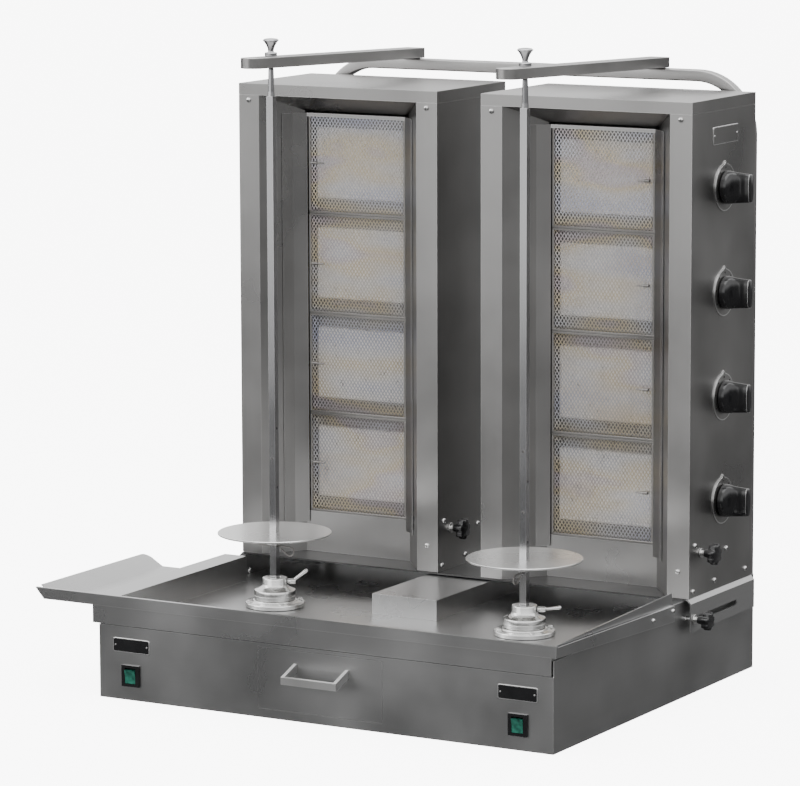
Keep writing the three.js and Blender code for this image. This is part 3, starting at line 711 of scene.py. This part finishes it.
def mesh_sheet(low_x, high_x, low_z, high_z, y):
    """Diamond mesh: whole cells with open middles, with real thickness."""
    wide = 0.0067
    tall = 0.0100
    thick = 0.0008
    open_share = 0.74
    columns = int((high_x - low_x) / wide)
    rows = int((high_z - low_z) / (tall / 2)) - 1
    start_x = (low_x + high_x - columns * wide) / 2
    start_z = (low_z + high_z - (rows + 1) * tall / 2) / 2
    points, faces, known = [], [], {}

    def corner(x, y_at, z):
        key = (round(x, 6), round(y_at, 6), round(z, 6))
        if key not in known:
            known[key] = len(points)
            points.append(Vector((x, y_at, z)))
        return known[key]

    for row in range(rows):
        shift = wide / 2 if row % 2 else 0
        count = columns - 1 if row % 2 else columns
        for column in range(count):
            x = start_x + shift + (column + 0.5) * wide
            z = start_z + (row + 1) * tall / 2
            tips = ((wide / 2, 0), (0, tall / 2), (-wide / 2, 0), (0, -tall / 2))
            outer = [[corner(x + u, y + d, z + v) for u, v in tips] for d in (0, thick)]
            inner = [[corner(x + u * open_share, y + d, z + v * open_share) for u, v in tips]
                     for d in (0, thick)]
            for index in range(4):
                after = (index + 1) % 4
                faces.append((outer[0][index], outer[0][after], inner[0][after], inner[0][index]))
                faces.append((outer[1][index], inner[1][index], inner[1][after], outer[1][after]))
                faces.append((inner[0][index], inner[0][after], inner[1][after], inner[1][index]))
    return points, faces


def burner(name, side, number):
    """Steel pan with a ceramic tile inside, a mesh screen across its mouth, and a probe."""
    cad = f"{name}_burner_{number}"
    low, high = low_corner(cad), high_corner(cad)
    front = low.y
    back = front + 0.022
    rim = 0.004
    inlet_x, inlet_z = 0.036, 0.034
    tile_x, tile_z = 0.088, 0.0625
    lap = 0.002
    centre = middle(cad)
    strips = [
        cuboid((low.x, front, low.z), (high.x, back, low.z + rim)),
        cuboid((low.x, front, high.z - rim), (high.x, back, high.z)),
        cuboid((low.x, front, low.z + rim), (low.x + rim, back, high.z - rim)),
        cuboid((high.x - rim, front, low.z + rim), (high.x, back, high.z - rim)),
        cuboid((low.x, back - 0.0015, low.z), (high.x, back, high.z)),
        cuboid((centre.x - inlet_x, back - 0.001, centre.z - inlet_z),
               (centre.x + inlet_x, high.y, centre.z + inlet_z)),
    ]
    piece(f"{name}_burner_{number}_pan", [(joined(strips), DARK_STEEL)],
          "carriage", [cad])
    tile = cuboid((centre.x - tile_x, back - 0.0085, centre.z - tile_z),
                  (centre.x + tile_x, back - 0.001, centre.z + tile_z), 0.0012)
    piece(f"{name}_burner_{number}_tile", [(tile, TILE)], "carriage")
    screen = mesh_sheet(low.x + rim - lap, high.x - rim + lap,
                        low.z + rim - lap, high.z - rim + lap, front + 0.0006)
    piece(f"{name}_burner_{number}_screen", [(screen, SCREEN)], "carriage")
    probe_profile = ((1.2, 0), (1.4, 0.4), (1.4, 12), (2.6, 12.4), (2.6, 22), (2, 22.6))
    start = (centre.x + side * 0.066, front - 0.0035, centre.z)
    probe = moved(lathe(in_mm(probe_profile), 16), outward(side, start))
    piece(f"{name}_burner_{number}_probe", [(probe, DARK_STEEL)], "carriage")


# ---- fixings and plates ---------------------------------------------------------------------------

def screw_head(place, radius=0.0045):
    """Domed head, and a thin dark cross laid on it: painted shade that stands for its recessed drive.
    """
    dome = lathe([(radius, 0), (radius, radius * 0.25), (radius * 0.85, radius * 0.5),
                  (radius * 0.5, radius * 0.66), (0, radius * 0.7)], 24)
    arm = radius * 0.5
    slot = radius * 0.11
    top = radius * 0.72
    # The dark cross is painted shade standing for the drive's recess.
    cross = joined([cuboid((-arm, -slot, top - 0.0004), (arm, slot, top), 0.0001),
                    cuboid((-slot, -arm, top - 0.0004), (slot, arm, top), 0.0001)])
    return moved(dome, place), moved(cross, place)


def screws(name, places, body, radius=0.0045):
    heads = [screw_head(place, radius) for place in places]
    domes = joined([dome for dome, _ in heads])
    # The crosses carry the painted shade of the drive recesses.
    drive_shades = joined([cross for _, cross in heads])
    piece(name, [(domes, TURNED), (drive_shades, MARK_AND_SHADE)], body)


def tower_screws(name):
    low, high = low_corner(f"{name}_tower_casing"), high_corner(f"{name}_tower_casing")
    spots = ((0.121, 0.255), (0.242, 0.231), (0.197, 0.1835), (0.318, 0.183), (0.114, 0.178))
    wall_places = [outward(1, (high.x, y, z)) for y, z in spots]
    wall_places += [outward(-1, (low.x, y, z)) for y, z in spots]
    front = low.y
    strip = 0.0205
    corners = [forward((x, front, z))
               for x in (low.x + strip, high.x - strip) for z in (0.213, 0.969)]
    screws(f"{name}_tower_screws", wall_places + corners, "carriage")


def frame_screws():
    band_face = 0.437
    places = [outward(1, (band_face, y, z)) for y, z in ((-0.031, 0.155), (0.042, 0.158))]
    screws("tray_band_screws", places, "base", 0.004)


def blank_plate(name, place, half_u, half_v, body, fill):
    """Plain rectangular plate with a bright rim and two rivets, and no marking."""
    def level(inset, radius, height):
        return rounded_rectangle(half_u - inset, half_v - inset, radius, height)

    rivet_inset = 0.005
    rim = loft([level(0, 0.003, 0), level(0, 0.003, 0.0007), level(0.0004, 0.0027, 0.0010)])
    face = loft([level(0.0014, 0.0022, 0.0008), level(0.0014, 0.0022, 0.0012)])
    reach = (Vector((half_u - rivet_inset, 0, 0)) if half_u > half_v
             else Vector((0, half_v - rivet_inset, 0)))
    rivets = [moved(lathe([(0.0017, 0.0010), (0.0015, 0.0018), (0, 0.0020)], 16),
                    Matrix.Translation(reach * end)) for end in (-1, 1)]
    piece(name, [(moved(rim, place), SATIN), (moved(face, place), fill),
                 (moved(joined(rivets), place), SATIN)], body)


# ---- assembly -------------------------------------------------------------------------------------

LEVERS = {"left": (0.35, math.pi / 2), "right": (0.25, 0.0)}       # heading and roll
CLIPS = {"left": Vector((1, 0, 0)), "right": Vector((0, -1, 0))}    # from the rod to the ring

dress_cad()
rear_frame()
frame_screws()
for name, side in SIDES:
    support_arm(name)
    top_pin(name)
    hub(name)
    hub_lever(name, *LEVERS[name])
    meat_disc(name)
    hairpin(name, CLIPS[name])
    for number in BURNERS:
        gas_knob(name, side, number)
        dial(name, side, number)
        burner(name, side, number)
    casing_right = high_corner(f"{name}_tower_casing").x
    clamp_knob(f"{name}_tower_clamp", 1, casing_right, 18.5, 0.4)
    cabinet_wall = side * high_corner("base_cabinet").x
    clamp_knob(f"{name}_base_clamp", side, cabinet_wall, 16, 14.4)
    tower_screws(name)
    panel = low_corner("base_cabinet").y
    blank_plate(f"{name}_front_plate", forward((side * 0.366, panel, 0.093)), 0.036, 0.012,
                "base", BLACK)
blank_plate("side_plate", outward(1, (high_corner("right_tower_casing").x, 0.226, 0.936)),
            0.015, 0.048, "carriage", TOWER)


# ---- floor, light and camera ----------------------------------------------------------------------

def pale_floor():
    """White floor that only the camera sees, so that the metal mirrors the studio instead of it."""
    material, _, shader = new_material("pale_floor", 0.0, 0.9)
    shader.inputs["Base Color"].default_value = (0.92, 0.92, 0.92, 1)
    shader.inputs["Emission Color"].default_value = (1, 1, 1, 1)
    shader.inputs["Emission Strength"].default_value = 7.0
    mesh = bpy.data.meshes.new("floor")
    half = 60
    level = -0.0004
    corners = [(x * half, y * half, level) for x, y in ((-1, -1), (1, -1), (1, 1), (-1, 1))]
    mesh.from_pydata(corners, [], [(0, 1, 2, 3)])
    mesh.materials.append(material)
    floor = bpy.data.objects.new("floor", mesh)
    floor.visible_glossy = False
    floor.visible_diffuse = False
    bpy.context.collection.objects.link(floor)


def soft_light(name, place, aim, width, height, power):
    data = bpy.data.lights.new(name, "AREA")
    data.shape = "RECTANGLE"
    data.size = width
    data.size_y = height
    data.energy = power
    lamp = bpy.data.objects.new(name, data)
    lamp.location = place
    lamp.rotation_euler = (Vector(aim) - Vector(place)).to_track_quat("-Z", "Y").to_euler()
    bpy.context.collection.objects.link(lamp)


def studio():
    """Bright above the horizon and dim below it, with soft lamps."""
    world = bpy.data.worlds.new("studio")
    bpy.context.scene.world = world
    world.use_nodes = True
    tree = world.node_tree
    direction = node(tree, "ShaderNodeTexCoord").outputs["Generated"]
    height = node(tree, "ShaderNodeSeparateXYZ", _0=direction).outputs["Z"]
    strength = remapped(tree, height, 0.15, 1.75, -0.02, 0.20)
    tree.links.new(strength, tree.nodes["Background"].inputs["Strength"])
    tree.nodes["Background"].inputs["Color"].default_value = (1, 1, 1, 1)
    soft_light("overhead", (0.1, -0.3, 3.2), (0, 0, 0.4), 3.0, 2.4, 45)
    soft_light("front_card", (-1.3, -3.2, 0.9), (0.2, -0.3, 0.3), 2.2, 1.5, 12)
    soft_light("left_key", (-3.0, -2.0, 2.0), (0, 0, 0.5), 1.6, 2.4, 30)


def photo_camera():
    """Camera fitted to straight edges in the photo."""
    yaw, pitch, roll = math.radians(29.820), math.radians(8.777), -0.0030981
    ahead = Vector((-math.sin(yaw) * math.cos(pitch), math.cos(yaw) * math.cos(pitch),
                    -math.sin(pitch)))
    across = Vector((math.cos(yaw), math.sin(yaw), 0))
    above = across.cross(ahead)
    right = across * math.cos(roll) + above * math.sin(roll)
    up = above * math.cos(roll) - across * math.sin(roll)
    data = bpy.data.cameras.new("camera")
    data.lens = 191.83
    data.sensor_width = 36
    data.clip_end = 300
    camera = bpy.data.objects.new("camera", data)
    turn = Matrix((right, up, -ahead)).transposed().to_4x4()
    camera.matrix_world = Matrix.Translation((3.49144, -6.19536, 1.59570)) @ turn
    bpy.context.collection.objects.link(camera)
    bpy.context.scene.camera = camera


pale_floor()
studio()
photo_camera()
